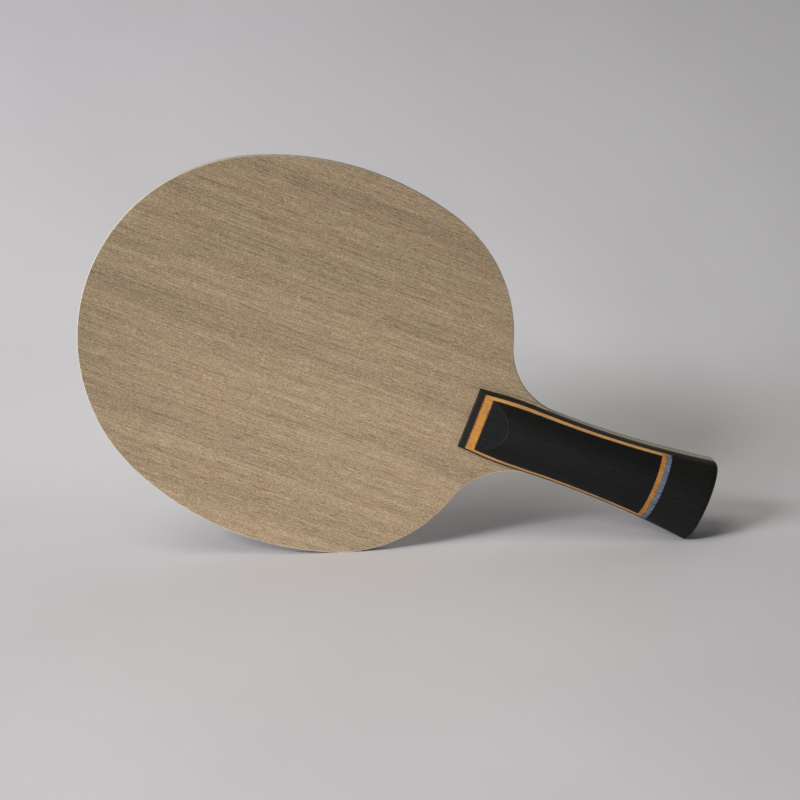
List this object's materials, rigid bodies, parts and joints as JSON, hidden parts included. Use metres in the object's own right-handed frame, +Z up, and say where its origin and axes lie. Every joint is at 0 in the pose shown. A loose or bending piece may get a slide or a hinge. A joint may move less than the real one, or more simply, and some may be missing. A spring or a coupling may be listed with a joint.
{
  "type": "table tennis blade",
  "caption": "Bare laminated wood blade with a round head and a flared, inlaid black handle, standing upright on its edge; the faces are ready for rubber sheets.",
  "frame": {"origin": "centre of the bounding box's bottom face, on the surface that the blade stands on", "axes": "+Z up; +X towards the butt of the handle, along the floor; -Y out of the front striking face; the middle plane of the blade is Y = 0"},
  "size_m": [0.2458, 0.025, 0.156],
  "materials": {
    "limba_veneer": "bare sanded veneer, fine dark pores along the grain",
    "inner_ply_wood": "bare sanded softwood",
    "core_ply_wood": "bare sanded light hardwood",
    "dark_fibre": "thin woven fibre layer soaked in glue",
    "black_dyed_wood": "satin, dyed through",
    "orange_dyed_veneer": "satin, dyed through",
    "blue_grey_dyed_veneer": "satin, dyed through"
  },
  "bodies": {
    "root": {"blue_strip_back": "blue_grey_dyed_veneer", "blue_strip_front": "blue_grey_dyed_veneer", "butt_block_back": "black_dyed_wood", "butt_block_front": "black_dyed_wood", "centre_block_back": "black_dyed_wood", "centre_block_front": "black_dyed_wood", "core_ply": "core_ply_wood", "fibre_layer_back": "dark_fibre", "fibre_layer_front": "dark_fibre", "handle_base_back": "black_dyed_wood", "handle_base_front": "black_dyed_wood", "inner_ply_back": "inner_ply_wood", "inner_ply_front": "inner_ply_wood", "orange_strip_back": "orange_dyed_veneer", "orange_strip_front": "orange_dyed_veneer", "outer_veneer_back": "limba_veneer", "outer_veneer_front": "limba_veneer", "underlay_veneer_back": "orange_dyed_veneer", "underlay_veneer_front": "orange_dyed_veneer"}
  },
  "joints": []
}
